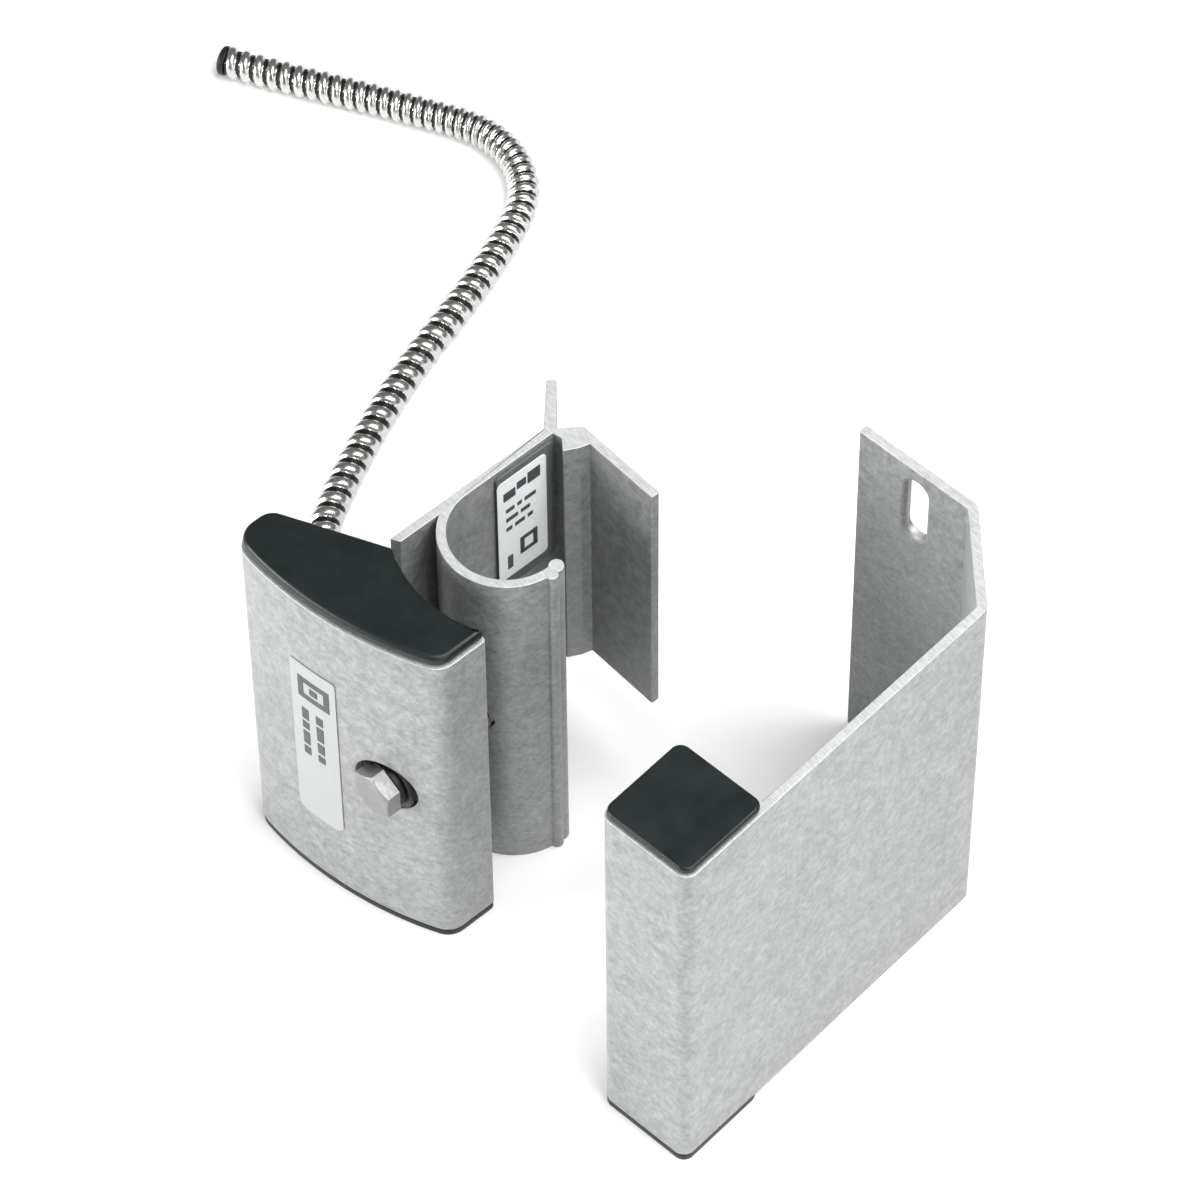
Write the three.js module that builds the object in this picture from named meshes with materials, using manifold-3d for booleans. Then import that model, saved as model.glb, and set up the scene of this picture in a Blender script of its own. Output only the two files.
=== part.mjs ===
// Track-mounted door contact: a reed sensor in an aluminium housing, the clamp that
// holds it on an overhead door's track, and the bracketed magnet that rides on the door.
// Millimetres, +Z up. The origin is on the floor under the clamp bolt, at the housing's foot.
import * as THREE from 'three';
import { mergeVertices } from 'three/addons/utils/BufferGeometryUtils.js';
import Module from 'manifold-3d';

const wasm = await Module();
wasm.setup();

// ---- Driving dimensions -------------------------------------------------------------
const GAP = 0.3;                 // clearance between pieces that touch
const FLANGE_UNDER = 2.0;        // thickness of the bottom caps' rims
const TOP_RIM_INSET = 0.5;       // how far the top caps' rims stand inside the extrusions
const FOOT_RIM_INSET = 0.15;
const EXTRUSION_FOOT = FLANGE_UNDER + GAP;

const HOUSING_TOP = 104.6;       // top of the sensor's aluminium
const HOUSING_CAP_TOP = 108;
const HOUSING_WALL = 2.2;
const FRONT_RADIUS = 98;         // bowed front face
const FRONT_CENTRE = [-31.5, 85.4];
const HOUSING_LEFT = -43.8;
const HOUSING_RIGHT = 14.1;
const SADDLE_RADIUS = 32;        // hollow that faces the track's rolled edge
const SADDLE_LOW_Y = 8.5;
const SADDLE_X = -1.6;
const BACK_LEFT_Y = -1;          // where the sloped back meets the left end
const BACK_SLOPE = Math.atan(0.5);

const BOLT_Z = 53;
const BOLT_RADIUS = 3.175;       // 1/4 inch, 20 threads per inch
const BOLT_HOLE_RADIUS = 3.6;
const BOLT_HEAD_FLATS = 11.1;
const BOLT_HEAD_HEIGHT = 4.2;
const BOLT_LENGTH = 44.45;
const SPOT_FACE_Y = -4.9;        // flat that the bolt's washer seats on
const SPOT_FACE_RADIUS = 7.6;
const WASHER_THICKNESS = 1.0;
const LOCK_WASHER_THICKNESS = 1.4;

const CLAMP_HEIGHT = 104.5;
const CLAMP_WALL = 2.3;
const NOSE_RADIUS = 15.7;
const NOSE_CENTRE = [-5.3, 35];
const PLATE_OUTER_X = NOSE_CENTRE[0] - NOSE_RADIUS;
const PLATE_END_Y = 61;
const TRACK_FLANGE_Y = 67;       // back of the flange behind the track
const TRACK_FLANGE_END_X = 9.6;
const LIP_BEADS = [[9.1, 36.7, 1.8], [10.3, 34.4, 1.5]];  // centres and radii of the beads on the nose's lip
const CLAMP_NOTCH_Z = 26;        // the flange is cut away below this height
const NUT_SEAT_Y = 27.5;         // flat inside the nose that the nut bears on
const NUT_HEIGHT = 5.6;

const MAGNET_TUBE = 25.4;        // 1 inch square tube
const MAGNET_TUBE_WALL = 2;
const MAGNET_WALL = 2.4;
const MAGNET_TOP = 113.6;
const MAGNET_CAP_TOP = 115.9;
const ARM_LENGTH = 96.4;         // straight wall, from the tube's front face
const CHAMFER = 20.3;
const FLANGE_LENGTH = 32.7;
const SLOT_X = -10.6;
const SLOT_WIDTH = 6;
const SLOT_LENGTH = 19;
const SLOT_HEIGHTS = [16, 99.5];
const MAGNET_PLACE = [69.3, -5.2];
const MAGNET_TURN = THREE.MathUtils.degToRad(5);

const GLAND_PLACE = [-33, 4.4];  // on the housing's sloped back
const GLAND_Z = 12.5;
const CABLE_DIAMETER = 8.2;

// Centreline of the armoured cable, from inside its ferrule to the cut end.
const CABLE_ROUTE = [
  [-34.9, 8.2, 12.5], [-37.5, 13.3, 12.4], [-42.8, 21.5, 11.3], [-49.9, 28.3, 9.0],
  [-58.3, 33.4, 6.6], [-67.7, 36.5, 4.9], [-77.0, 39.6, 4.3], [-85.3, 44.6, 4.2],
  [-92.5, 51.5, 4.2], [-97.8, 59.7, 4.2], [-105.0, 73.9, 4.2], [-111.5, 88.5, 4.2],
  [-117.2, 103.9, 4.2], [-121.8, 119.0, 4.2], [-127.0, 134.5, 4.2], [-133.4, 149.5, 4.2],
  [-136.8, 154.8, 4.2], [-141.5, 159.1, 4.2], [-147.2, 162.0, 4.2], [-153.4, 163.2, 4.2],
  [-159.8, 162.8, 4.2], [-165.8, 160.8, 4.2], [-176.4, 155.4, 4.2], [-187.6, 149.4, 4.2],
  [-198.5, 143.2, 4.2], [-209.9, 136.8, 4.2], [-221.7, 130.6, 4.2],
];

// ---- Materials ----------------------------------------------------------------------
const finish = (color, roughness, metalness) =>
  new THREE.MeshStandardMaterial({ color, roughness, metalness });
const aluminium = () => finish(0xc4c6c4, 0.5, 0.9);
const steel = () => finish(0xb4b6b6, 0.35, 1);
const blackPlastic = () => finish(0x1e2423, 0.45, 0);
const paper = () => finish(0xf0f0f0, 0.6, 0);
const copper = () => finish(0xb87a4a, 0.4, 1);

// ---- Solids -------------------------------------------------------------------------
function toSolid(geometry) {
  const bare = geometry.clone();
  bare.deleteAttribute('normal');
  bare.deleteAttribute('uv');
  const merged = mergeVertices(bare, 1e-4);
  return new wasm.Manifold(new wasm.Mesh({
    numProp: 3,
    vertProperties: new Float32Array(merged.attributes.position.array),
    triVerts: new Uint32Array(merged.index.array),
  }));
}

function toGeometry(solid) {
  const mesh = solid.getMesh();
  const geometry = new THREE.BufferGeometry();
  geometry.setAttribute('position', new THREE.BufferAttribute(new Float32Array(mesh.vertProperties), 3));
  geometry.setIndex(new THREE.BufferAttribute(new Uint32Array(mesh.triVerts), 1));
  return geometry;
}

const join = (...geometries) =>
  toGeometry(geometries.map(toSolid).reduce((whole, next) => whole.add(next)));
const cut = (body, ...tools) =>
  toGeometry(tools.map(toSolid).reduce((whole, tool) => whole.subtract(tool), toSolid(body)));
const common = (a, b) => toGeometry(toSolid(a).intersect(toSolid(b)));

function box(x0, x1, y0, y1, z0, z1) {
  return new THREE.BoxGeometry(x1 - x0, y1 - y0, z1 - z0)
    .translate((x0 + x1) / 2, (y0 + y1) / 2, (z0 + z1) / 2);
}

const vectors = (points) => points.map(([x, y]) => new THREE.Vector2(x, y));

// Upright prism with an outline in plan, from height z0 to z1, with optional through holes.
function prism(outline, z0, z1, holes = []) {
  const shape = new THREE.Shape(vectors(outline));
  for (const hole of holes) shape.holes.push(new THREE.Path(vectors(hole)));
  return new THREE.ExtrudeGeometry(shape, { depth: z1 - z0, bevelEnabled: false }).translate(0, 0, z0);
}

// Cylinder along +Y from y0 to y1.
function cylinderY(x, z, radius, y0, y1, sides = 24) {
  return new THREE.CylinderGeometry(radius, radius, y1 - y0, sides).translate(x, (y0 + y1) / 2, z);
}

// Cylinder along +Z from z0 to z1.
function cylinderZ(x, y, radius, z0, z1, sides = 20) {
  return new THREE.CylinderGeometry(radius, radius, z1 - z0, sides)
    .rotateX(Math.PI / 2).translate(x, y, (z0 + z1) / 2);
}

// Hexagonal prism along +Y with a corner at the top.
const hexY = (x, z, acrossFlats, y0, y1) => cylinderY(x, z, acrossFlats / Math.sqrt(3), y0, y1, 6);

// Ring turned about +Z: its wall runs from the inner to the outer radius.
function ring(inner, outer, z0, z1, sides = 24) {
  const profile = [[inner, z0], [outer, z0], [outer, z1], [inner, z1], [inner, z0]];
  return new THREE.LatheGeometry(vectors(profile), sides).rotateX(Math.PI / 2);
}

// ---- Outlines -----------------------------------------------------------------------
function arc([cx, cy], radius, from, to, steps) {
  const points = [];
  for (let i = 0; i <= steps; i += 1) {
    const angle = THREE.MathUtils.degToRad(from + ((to - from) * i) / steps);
    points.push([cx + radius * Math.cos(angle), cy + radius * Math.sin(angle)]);
  }
  return points;
}

// Rounds the corners of a closed outline; a corner is [x, y, radius], or [x, y] to stay sharp.
function rounded(corners, steps = 5) {
  const points = [];
  corners.forEach((corner, i) => {
    const [x, y, radius = 0] = corner;
    if (!radius) {
      points.push([x, y]);
      return;
    }
    const here = new THREE.Vector2(x, y);
    const before = corners[(i + corners.length - 1) % corners.length];
    const after = corners[(i + 1) % corners.length];
    const back = new THREE.Vector2(before[0], before[1]).sub(here).normalize();
    const on = new THREE.Vector2(after[0], after[1]).sub(here).normalize();
    const half = Math.acos(THREE.MathUtils.clamp(back.dot(on), -1, 1)) / 2;
    const centre = here.clone().add(back.clone().add(on).setLength(radius / Math.sin(half)));
    const start = here.clone().addScaledVector(back, radius / Math.tan(half)).sub(centre).angle();
    const end = here.clone().addScaledVector(on, radius / Math.tan(half)).sub(centre).angle();
    const sweep = THREE.MathUtils.euclideanModulo(end - start + Math.PI, 2 * Math.PI) - Math.PI;
    for (let k = 0; k <= steps; k += 1) {
      const angle = start + (sweep * k) / steps;
      points.push([centre.x + radius * Math.cos(angle), centre.y + radius * Math.sin(angle)]);
    }
  });
  return points;
}

// Evenly spread values strictly between two ends.
const between = (from, to, count) =>
  Array.from({ length: count }, (_, i) => from + ((to - from) * (i + 1)) / (count + 1));

// Plan of the sensor housing, moved inwards by a distance: bowed front, rounded ends,
// sloped back and the saddle that faces the track.
function housingOutline(distance = 0) {
  const [cx, cy] = FRONT_CENTRE;
  const left = HOUSING_LEFT + distance;
  const right = HOUSING_RIGHT - distance;
  const frontY = (x) => cy - Math.sqrt((FRONT_RADIUS - distance) ** 2 - (x - cx) ** 2);
  const backY = (x) =>
    BACK_LEFT_Y + (x - HOUSING_LEFT) * Math.tan(BACK_SLOPE) - distance / Math.cos(BACK_SLOPE);
  const saddleY = (x) =>
    SADDLE_LOW_Y + SADDLE_RADIUS - Math.sqrt((SADDLE_RADIUS + distance) ** 2 - (x - SADDLE_X) ** 2);
  let [low, high] = [left, SADDLE_X];
  while (high - low > 1e-4) {
    const middle = (low + high) / 2;
    if (backY(middle) < saddleY(middle)) low = middle;
    else high = middle;
  }
  const crest = low;
  const radius = (full) => Math.max(full - distance, 0.6);
  return rounded([
    [left, frontY(left), radius(6)],
    ...between(left + 6, right - 4, 6).map((x) => [x, frontY(x)]),
    [right, frontY(right), radius(5.5)],
    [right, saddleY(right), radius(1.1)],
    ...between(right - 1, crest + 0.5, 7).map((x) => [x, saddleY(x)]),
    [crest, backY(crest), radius(1.8)],
    [left, backY(left), radius(5)],
  ]);
}

// Places geometry made along +Z so that it points straight out of the housing's sloped back.
function atGland(geometry) {
  return geometry.rotateX(-Math.PI / 2).rotateZ(BACK_SLOPE)
    .translate(GLAND_PLACE[0], GLAND_PLACE[1], GLAND_Z);
}

// ---- Sensor -------------------------------------------------------------------------
function sensorHousing() {
  const shell = prism(housingOutline(), EXTRUSION_FOOT, HOUSING_TOP, [housingOutline(HOUSING_WALL)]);
  return cut(shell,
    cylinderY(0, BOLT_Z, SPOT_FACE_RADIUS, -20, 0),
    cylinderY(0, BOLT_Z, BOLT_HOLE_RADIUS, 0, 20),
    atGland(cylinderZ(0, 0, 5.1, -8, 6)));
}

// End cap: a rim that covers the extrusion's end and a plug that grips inside it.
function housingCap(rimInset, rimLow, rimHigh, plugLow, plugHigh) {
  return join(
    prism(housingOutline(rimInset), rimLow, rimHigh),
    prism(housingOutline(HOUSING_WALL + GAP), plugLow, plugHigh));
}

// Block that carries the bolt's load through the hollow housing, with a seat for the washer.
function spacerBlock() {
  const bay = prism(housingOutline(HOUSING_WALL + GAP), BOLT_Z - 11, BOLT_Z + 11);
  const block = common(bay, box(-9.5, 10.5, -30, 30, BOLT_Z - 11, BOLT_Z + 11));
  return cut(block,
    cylinderY(0, BOLT_Z, SPOT_FACE_RADIUS, -20, SPOT_FACE_Y),
    cylinderY(0, BOLT_Z, BOLT_HOLE_RADIUS, -20, 20));
}

// Resin that fills the wide end of the housing, open where the board stands.
function pottingBlock() {
  const bay = prism(housingOutline(HOUSING_WALL + GAP), 24, 94);
  const wideEnd = common(bay, box(-50, -10.5, -30, 30, 24, 94));
  return cut(wideEnd, box(-36, -12.5, -7.8, -1.2, 20, 98));
}

const BOARD_X = [-34, -15];
const BOARD_Y = [-3.6, -2.0];
const BOARD_Z = [27, 90];
const REED_X = -24;
const REED_Y = -5.6;
const REED_Z = 56;
const REED_HALF = 10;

const circuitBoard = () => box(...BOARD_X, ...BOARD_Y, ...BOARD_Z);

const reedGlass = () =>
  ring(0.75, 1.35, REED_Z - REED_HALF, REED_Z + REED_HALF, 16).translate(REED_X, REED_Y, 0);

// One contact blade of the reed switch: a flat tongue in the glass and a round lead outside.
function reedBlade(side) {
  const tongue = box(-0.5, 0.5, 0, 0.2, -0.8, REED_HALF + 1);
  const lead = cylinderZ(0, 0.1, 0.3, REED_HALF + 0.5, REED_HALF + 12, 8);
  const blade = join(tongue, lead).translate(0, 0.05, 0);
  return blade.rotateX(side > 0 ? 0 : Math.PI).translate(REED_X, REED_Y, REED_Z);
}

// Strip with three solder posts across the foot of the board.
function terminalStrip() {
  const face = BOARD_Y[0] - GAP;
  const strip = box(-32, -17, face - 1, face, 31, 34);
  return join(strip, ...[-30, -24.5, -19].map((x) => cylinderY(x, 32.5, 0.7, face - 2.2, face - 0.4, 8)));
}

// Insulated lead from the gland's mouth up to the board.
function leadWire(route) {
  const path = new THREE.CatmullRomCurve3(route.map((p) => new THREE.Vector3(...p)));
  const section = new THREE.Shape(vectors(arc([0, 0], 0.6, 0, 315, 7)));
  return new THREE.ExtrudeGeometry(section, { steps: 14, bevelEnabled: false, extrudePath: path });
}

const LEAD_WIRES = {
  lead_wire_red: [[-29.5, -0.9, 13.6], [-28.7, -3.6, 17], [-29.4, -5.6, 23], [-30, -5.9, 30.5]],
  lead_wire_black: [[-31.2, -1.6, 11.4], [-29.2, -4.6, 13.5], [-25.6, -5.7, 20], [-24.5, -5.9, 30.5]],
};

// Bushing through the back wall: outer flange, ferrule for the armour, threaded neck.
function cableGland() {
  const profile = [
    [2.6, -5.6], [4.8, -5.6], [4.8, GAP], [7, GAP], [7, 2.2], [6, 3], [6, 10.5], [4.6, 10.5],
    [4.6, 3], [2.6, 3], [2.6, -5.6],
  ];
  return atGland(new THREE.LatheGeometry(vectors(profile), 28).rotateX(Math.PI / 2));
}

function glandLocknut() {
  const inner = -HOUSING_WALL - GAP;
  const hex = new THREE.CylinderGeometry(7.5, 7.5, 2.6, 6).rotateX(Math.PI / 2).translate(0, 0, inner - 1.3);
  return atGland(cut(hex, cylinderZ(0, 0, 4.9, inner - 5, inner + 2)));
}

function armouredCable() {
  const path = new THREE.CatmullRomCurve3(CABLE_ROUTE.map((p) => new THREE.Vector3(...p)));
  const section = new THREE.Shape(vectors(arc([0, 0], CABLE_DIAMETER / 2, 0, 324, 9)));
  return new THREE.ExtrudeGeometry(section, { steps: 44, bevelEnabled: false, extrudePath: path });
}

// Plastic bushing that guards the leads at the armour's cut end.
function cableEndBushing() {
  const [x, y, z] = CABLE_ROUTE.at(-1);
  const [px, py] = CABLE_ROUTE.at(-2);
  const heading = Math.atan2(y - py, x - px);
  return ring(2.3, 3.7, GAP, 2, 20).rotateY(Math.PI / 2).rotateZ(heading).translate(x, y, z);
}

const LABEL_LEFT = -25;
const LABEL_RIGHT = -11.9;

// White label on the bowed front face.
function sensorLabel() {
  const [cx, cy] = FRONT_CENTRE;
  const from = 270 + THREE.MathUtils.radToDeg(Math.asin((LABEL_LEFT - cx) / FRONT_RADIUS));
  const to = 270 + THREE.MathUtils.radToDeg(Math.asin((LABEL_RIGHT - cx) / FRONT_RADIUS));
  const inner = arc([cx, cy], FRONT_RADIUS + 0.1, from, to, 6);
  const outer = arc([cx, cy], FRONT_RADIUS + 0.35, to, from, 6);
  return prism([...outer, ...inner].reverse(), 24, 82);
}

// ---- Clamp --------------------------------------------------------------------------
function clampExtrusion() {
  const [nx, ny] = NOSE_CENTRE;
  const plate = prism([
    [PLATE_OUTER_X, 14.5], [PLATE_OUTER_X + CLAMP_WALL, 15.65],
    [PLATE_OUTER_X + CLAMP_WALL, PLATE_END_Y], [PLATE_OUTER_X, PLATE_END_Y],
  ], 0, CLAMP_HEIGHT);
  const nose = prism([
    ...arc([nx, ny], NOSE_RADIUS, 180, 365, 28),
    ...arc([nx, ny], NOSE_RADIUS - CLAMP_WALL, 365, 180, 24),
  ], 0, CLAMP_HEIGHT);
  const lip = LIP_BEADS.map(([x, y, radius]) => cylinderZ(x, y, radius, 0, CLAMP_HEIGHT, 14));
  const leg = prism([[0, -1.6], [14.8, -1.2], [14.8, 1.2], [0, 1.6]], 0, CLAMP_HEIGHT)
    .rotateZ(THREE.MathUtils.degToRad(137)).translate(PLATE_OUTER_X + 1.6, PLATE_END_Y - 0.6, 0);
  const flangeInnerY = TRACK_FLANGE_Y - CLAMP_WALL;
  const corner = prism(rounded([
    [PLATE_OUTER_X + 0.4, PLATE_END_Y - 0.8], [-16.4, 61.2, 0.6], [-13.4, 58.8, 0.4], [-11.5, 62.4, 0.8],
    [-10.9, flangeInnerY, 0.3], [TRACK_FLANGE_END_X, flangeInnerY, 0.5],
    [TRACK_FLANGE_END_X, TRACK_FLANGE_Y, 0.5], [-15.6, TRACK_FLANGE_Y, 1.5],
  ], 3), 0, CLAMP_HEIGHT);
  return cut(join(plate, nose, ...lip, leg, corner),
    box(PLATE_OUTER_X + CLAMP_WALL, 20, PLATE_END_Y - 4, 80, -1, CLAMP_NOTCH_Z),
    cylinderY(0, BOLT_Z, BOLT_HOLE_RADIUS, 10, 28));
}

// Half-round seat that fits inside the nose and gives the nut a flat face.
function nutSeat() {
  const [nx, ny] = NOSE_CENTRE;
  const fill = cylinderZ(nx, ny, NOSE_RADIUS - CLAMP_WALL - GAP, BOLT_Z - 8, BOLT_Z + 8, 48);
  const seat = common(fill, box(-7.5, 7.5, 10, NUT_SEAT_Y, BOLT_Z - 8, BOLT_Z + 8));
  return cut(seat, cylinderY(0, BOLT_Z, BOLT_HOLE_RADIUS, 0, 40));
}

const NUT_Y = NUT_SEAT_Y + GAP;
const clampNut = () => cut(
  hexY(0, BOLT_Z, BOLT_HEAD_FLATS, NUT_Y, NUT_Y + NUT_HEIGHT),
  cylinderY(0, BOLT_Z, BOLT_RADIUS + 0.08, 20, 40));

// Dark pad on the plate's inner face, and the label that covers most of it.
const PAD_X = PLATE_OUTER_X + CLAMP_WALL + 0.1;
const clampPad = () => box(PAD_X, PAD_X + 0.7, 43, 60, 61.5, 103);
const clampLabel = () => box(PAD_X + 0.8, PAD_X + 1.05, 43, 57.6, 65, 101);

// ---- Clamp bolt ---------------------------------------------------------------------
const WASHER_Y = SPOT_FACE_Y - 0.1;
const LOCK_WASHER_Y = WASHER_Y - WASHER_THICKNESS - 0.1;
const HEAD_SEAT_Y = LOCK_WASHER_Y - LOCK_WASHER_THICKNESS - 0.1;

function clampBolt() {
  const head = hexY(0, BOLT_Z, BOLT_HEAD_FLATS, HEAD_SEAT_Y - BOLT_HEAD_HEIGHT, HEAD_SEAT_Y);
  return join(head, cylinderY(0, BOLT_Z, BOLT_RADIUS, HEAD_SEAT_Y - 1, HEAD_SEAT_Y + BOLT_LENGTH));
}

const alongBolt = (geometry, y) => geometry.rotateX(Math.PI / 2).translate(0, y, BOLT_Z);
const flatWasher = () => alongBolt(ring(3.4, 7.2, 0, WASHER_THICKNESS, 32), WASHER_Y);

// Split spring washer with its cut.
function lockWasher() {
  const whole = alongBolt(ring(3.35, 5.8, 0, LOCK_WASHER_THICKNESS, 32), LOCK_WASHER_Y);
  return cut(whole, box(-0.5, 0.5, -20, 0, BOLT_Z, BOLT_Z + 9));
}

// ---- Magnet unit, in its own frame: the tube's front corner on the origin -------------
function magnetBracket() {
  const armEnd = ARM_LENGTH;
  const backY = ARM_LENGTH + CHAMFER;
  const flangeX = MAGNET_TUBE - CHAMFER;
  const innerBend = MAGNET_WALL * Math.tan(Math.PI / 8);
  const outline = rounded([
    [0, 0, 3], [MAGNET_TUBE, 0, 3], [MAGNET_TUBE, armEnd, 2.5], [flangeX, backY, 2.5],
    [flangeX - FLANGE_LENGTH, backY, 0.6], [flangeX - FLANGE_LENGTH, backY - MAGNET_WALL, 0.6],
    [flangeX - innerBend, backY - MAGNET_WALL, 1], [MAGNET_TUBE - MAGNET_WALL, armEnd - innerBend, 1],
    [MAGNET_TUBE - MAGNET_WALL, MAGNET_TUBE, 1], [0, MAGNET_TUBE, 3],
  ]);
  const bore = rounded(tubeSquare(MAGNET_TUBE_WALL, 1.4));
  const body = prism(outline, EXTRUSION_FOOT, MAGNET_TOP, [bore]);
  return cut(body, ...SLOT_HEIGHTS.map((z) => slotTool(z, backY)));
}

const tubeSquare = (distance, radius) => {
  const far = MAGNET_TUBE - distance;
  return [[distance, distance, radius], [far, distance, radius], [far, far, radius], [distance, far, radius]];
};

// Vertical slot through the flange, with an eased edge on its inner face.
function slotTool(z, backY) {
  const half = (SLOT_LENGTH - SLOT_WIDTH) / 2;
  const slot = (radius, y0, y1) => prism([
    ...arc([SLOT_X, half], radius, 0, 180, 8), ...arc([SLOT_X, -half], radius, 180, 360, 8),
  ], -y1, -y0).rotateX(Math.PI / 2).translate(0, 0, z);
  const through = slot(SLOT_WIDTH / 2, backY - MAGNET_WALL - 5, backY + 5);
  const eased = slot(SLOT_WIDTH / 2 + 1, backY - MAGNET_WALL - 2, backY - MAGNET_WALL + 0.7);
  return join(through, eased);
}

function magnetCap(rimInset, rimLow, rimHigh, plugLow, plugHigh) {
  return join(
    prism(rounded(tubeSquare(rimInset, 2.6)), rimLow, rimHigh),
    prism(rounded(tubeSquare(MAGNET_TUBE_WALL + GAP, 1.2)), plugLow, plugHigh));
}

const CENTRE = MAGNET_TUBE / 2;
const magnetBar = (z0, z1) => box(CENTRE - 6.35, CENTRE + 6.35, CENTRE - 8.5, CENTRE + 8.5, z0, z1);
const magnetSpacer = (z0, z1) =>
  prism(rounded(tubeSquare(MAGNET_TUBE_WALL + 2.1, 1)), z0, z1);

// Channel-shaped liner that keeps the magnet bars in the middle of the tube.
function magnetCradle() {
  const outside = prism(rounded(tubeSquare(MAGNET_TUBE_WALL + GAP, 1.2)), 10, 106);
  const bay = box(CENTRE - 8.6, CENTRE + 8.6, CENTRE - 8.9, 40, 0, 120);
  return cut(outside, bay);
}

// ---- Assembly -----------------------------------------------------------------------
const assembly = new THREE.Group();
const magnetUnit = new THREE.Group();
magnetUnit.position.set(MAGNET_PLACE[0], MAGNET_PLACE[1], 0);
magnetUnit.rotation.z = MAGNET_TURN;
assembly.add(magnetUnit);

function place(name, geometry, material, group = assembly) {
  const mesh = new THREE.Mesh(geometry, material);
  mesh.name = name;
  group.add(mesh);
}

const capGrip = 6;               // depth of the caps' plugs at the top
const footGrip = 2.1;            // and at the bottom, clear of the gland's locknut

place('sensor_housing', sensorHousing(), aluminium());
place('housing_top_cap',
  housingCap(TOP_RIM_INSET, HOUSING_TOP + GAP, HOUSING_CAP_TOP, HOUSING_TOP - capGrip, HOUSING_TOP + GAP),
  blackPlastic());
place('housing_bottom_cap',
  housingCap(FOOT_RIM_INSET, 0, FLANGE_UNDER, FLANGE_UNDER, EXTRUSION_FOOT + footGrip), blackPlastic());
place('spacer_block', spacerBlock(), aluminium());
place('potting_block', pottingBlock(), finish(0x2a2a28, 0.6, 0));
place('circuit_board', circuitBoard(), finish(0x1f5a35, 0.5, 0));
place('reed_glass', reedGlass(), finish(0x9fc4b0, 0.1, 0));
place('reed_blade_upper', reedBlade(1), steel());
place('reed_blade_lower', reedBlade(-1), steel());
place('terminal_strip', terminalStrip(), copper());
place('lead_wire_red', leadWire(LEAD_WIRES.lead_wire_red), finish(0xa02820, 0.5, 0));
place('lead_wire_black', leadWire(LEAD_WIRES.lead_wire_black), blackPlastic());
place('cable_gland', cableGland(), steel());
place('gland_locknut', glandLocknut(), steel());
place('armoured_cable', armouredCable(), steel());
place('cable_end_bushing', cableEndBushing(), blackPlastic());
place('sensor_label', sensorLabel(), paper());
place('track_clamp', clampExtrusion(), aluminium());
place('nut_seat', nutSeat(), aluminium());
place('clamp_nut', clampNut(), steel());
place('clamp_pad', clampPad(), finish(0x3c4040, 0.8, 0));
place('clamp_label', clampLabel(), paper());
place('clamp_bolt', clampBolt(), steel());
place('flat_washer', flatWasher(), steel());
place('lock_washer', lockWasher(), steel());
place('magnet_bracket', magnetBracket(), aluminium(), magnetUnit);
place('magnet_top_cap',
  magnetCap(TOP_RIM_INSET, MAGNET_TOP + GAP, MAGNET_CAP_TOP, MAGNET_TOP - capGrip, MAGNET_TOP + GAP),
  blackPlastic(), magnetUnit);
place('magnet_bottom_cap',
  magnetCap(FOOT_RIM_INSET, 0, FLANGE_UNDER, FLANGE_UNDER, EXTRUSION_FOOT + capGrip),
  blackPlastic(), magnetUnit);
place('magnet_cradle', magnetCradle(), finish(0xd8d4c8, 0.6, 0), magnetUnit);
place('magnet_bar_lower', magnetBar(11, 53), finish(0x55585a, 0.5, 0.6), magnetUnit);
place('magnet_bar_upper', magnetBar(62, 104), finish(0x55585a, 0.5, 0.6), magnetUnit);
place('magnet_spacer', magnetSpacer(53.5, 61.5), finish(0x30302e, 0.9, 0), magnetUnit);

export default assembly;
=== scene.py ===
"""Looks of a track-mounted door contact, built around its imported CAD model.

Shapes are drawn in millimetres in the CAD model's frame and become metres as each mesh is made.
"""
import math

import bmesh
import bpy
from mathutils import Matrix, Vector


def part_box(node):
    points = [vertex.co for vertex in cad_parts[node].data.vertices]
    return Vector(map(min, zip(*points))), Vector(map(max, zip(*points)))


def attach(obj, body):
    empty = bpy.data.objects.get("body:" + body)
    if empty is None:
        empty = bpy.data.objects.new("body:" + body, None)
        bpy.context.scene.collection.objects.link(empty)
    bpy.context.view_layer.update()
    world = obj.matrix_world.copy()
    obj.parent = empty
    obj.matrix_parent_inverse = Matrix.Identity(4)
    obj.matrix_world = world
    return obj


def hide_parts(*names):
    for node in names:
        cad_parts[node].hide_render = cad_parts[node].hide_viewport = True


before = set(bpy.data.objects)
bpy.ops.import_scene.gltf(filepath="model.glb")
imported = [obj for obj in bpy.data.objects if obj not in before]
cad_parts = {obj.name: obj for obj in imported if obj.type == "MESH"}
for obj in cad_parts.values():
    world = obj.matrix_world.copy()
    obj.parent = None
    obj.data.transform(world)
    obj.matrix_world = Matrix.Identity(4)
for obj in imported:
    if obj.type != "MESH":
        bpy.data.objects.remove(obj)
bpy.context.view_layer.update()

MM = 0.001
GAP = 0.3       # Clearance between neighbouring parts.


def span(node, axis):
    """Lowest and highest value of a CAD node along an axis, in millimetres."""
    low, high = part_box(node)
    return low[axis] / MM, high[axis] / MM


# ---- Camera ----------------------------------------------------------------------------
CAMERA_PLACE = (0.6436, -0.5159, 1.2355)    # Metres; the angles below are in degrees.
CAMERA_TURN = 48.30
CAMERA_DOWN = 53.67
CAMERA_ROLL = -0.57
CAMERA_LENS = 192.8


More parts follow.
